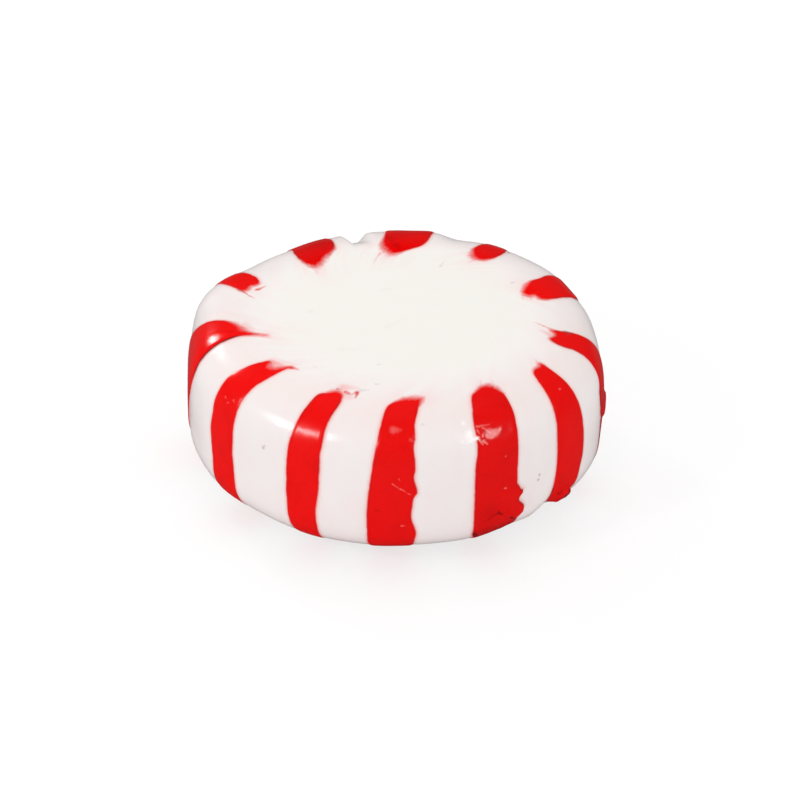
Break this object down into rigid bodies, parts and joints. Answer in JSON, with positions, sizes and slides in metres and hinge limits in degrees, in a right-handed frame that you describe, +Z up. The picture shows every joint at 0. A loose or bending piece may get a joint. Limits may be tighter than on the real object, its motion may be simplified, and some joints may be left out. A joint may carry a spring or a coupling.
{
  "type": "starlight mint",
  "caption": "Round pressed peppermint hard candy: a thick disc with a broad soft shoulder, a rounder underside and striped sides, resting on a small flat.",
  "frame": {"origin": "under the middle of the disc, on the flat it rests on", "axes": "+Z up through the thickness of the disc; -Y towards the side seen from the front"},
  "size_m": [0.024, 0.024, 0.01],
  "materials": {
    "candy": "glossy boiled sugar, opaque white with red stripes"
  },
  "bodies": {
    "root": {"mint": "candy"}
  },
  "joints": []
}
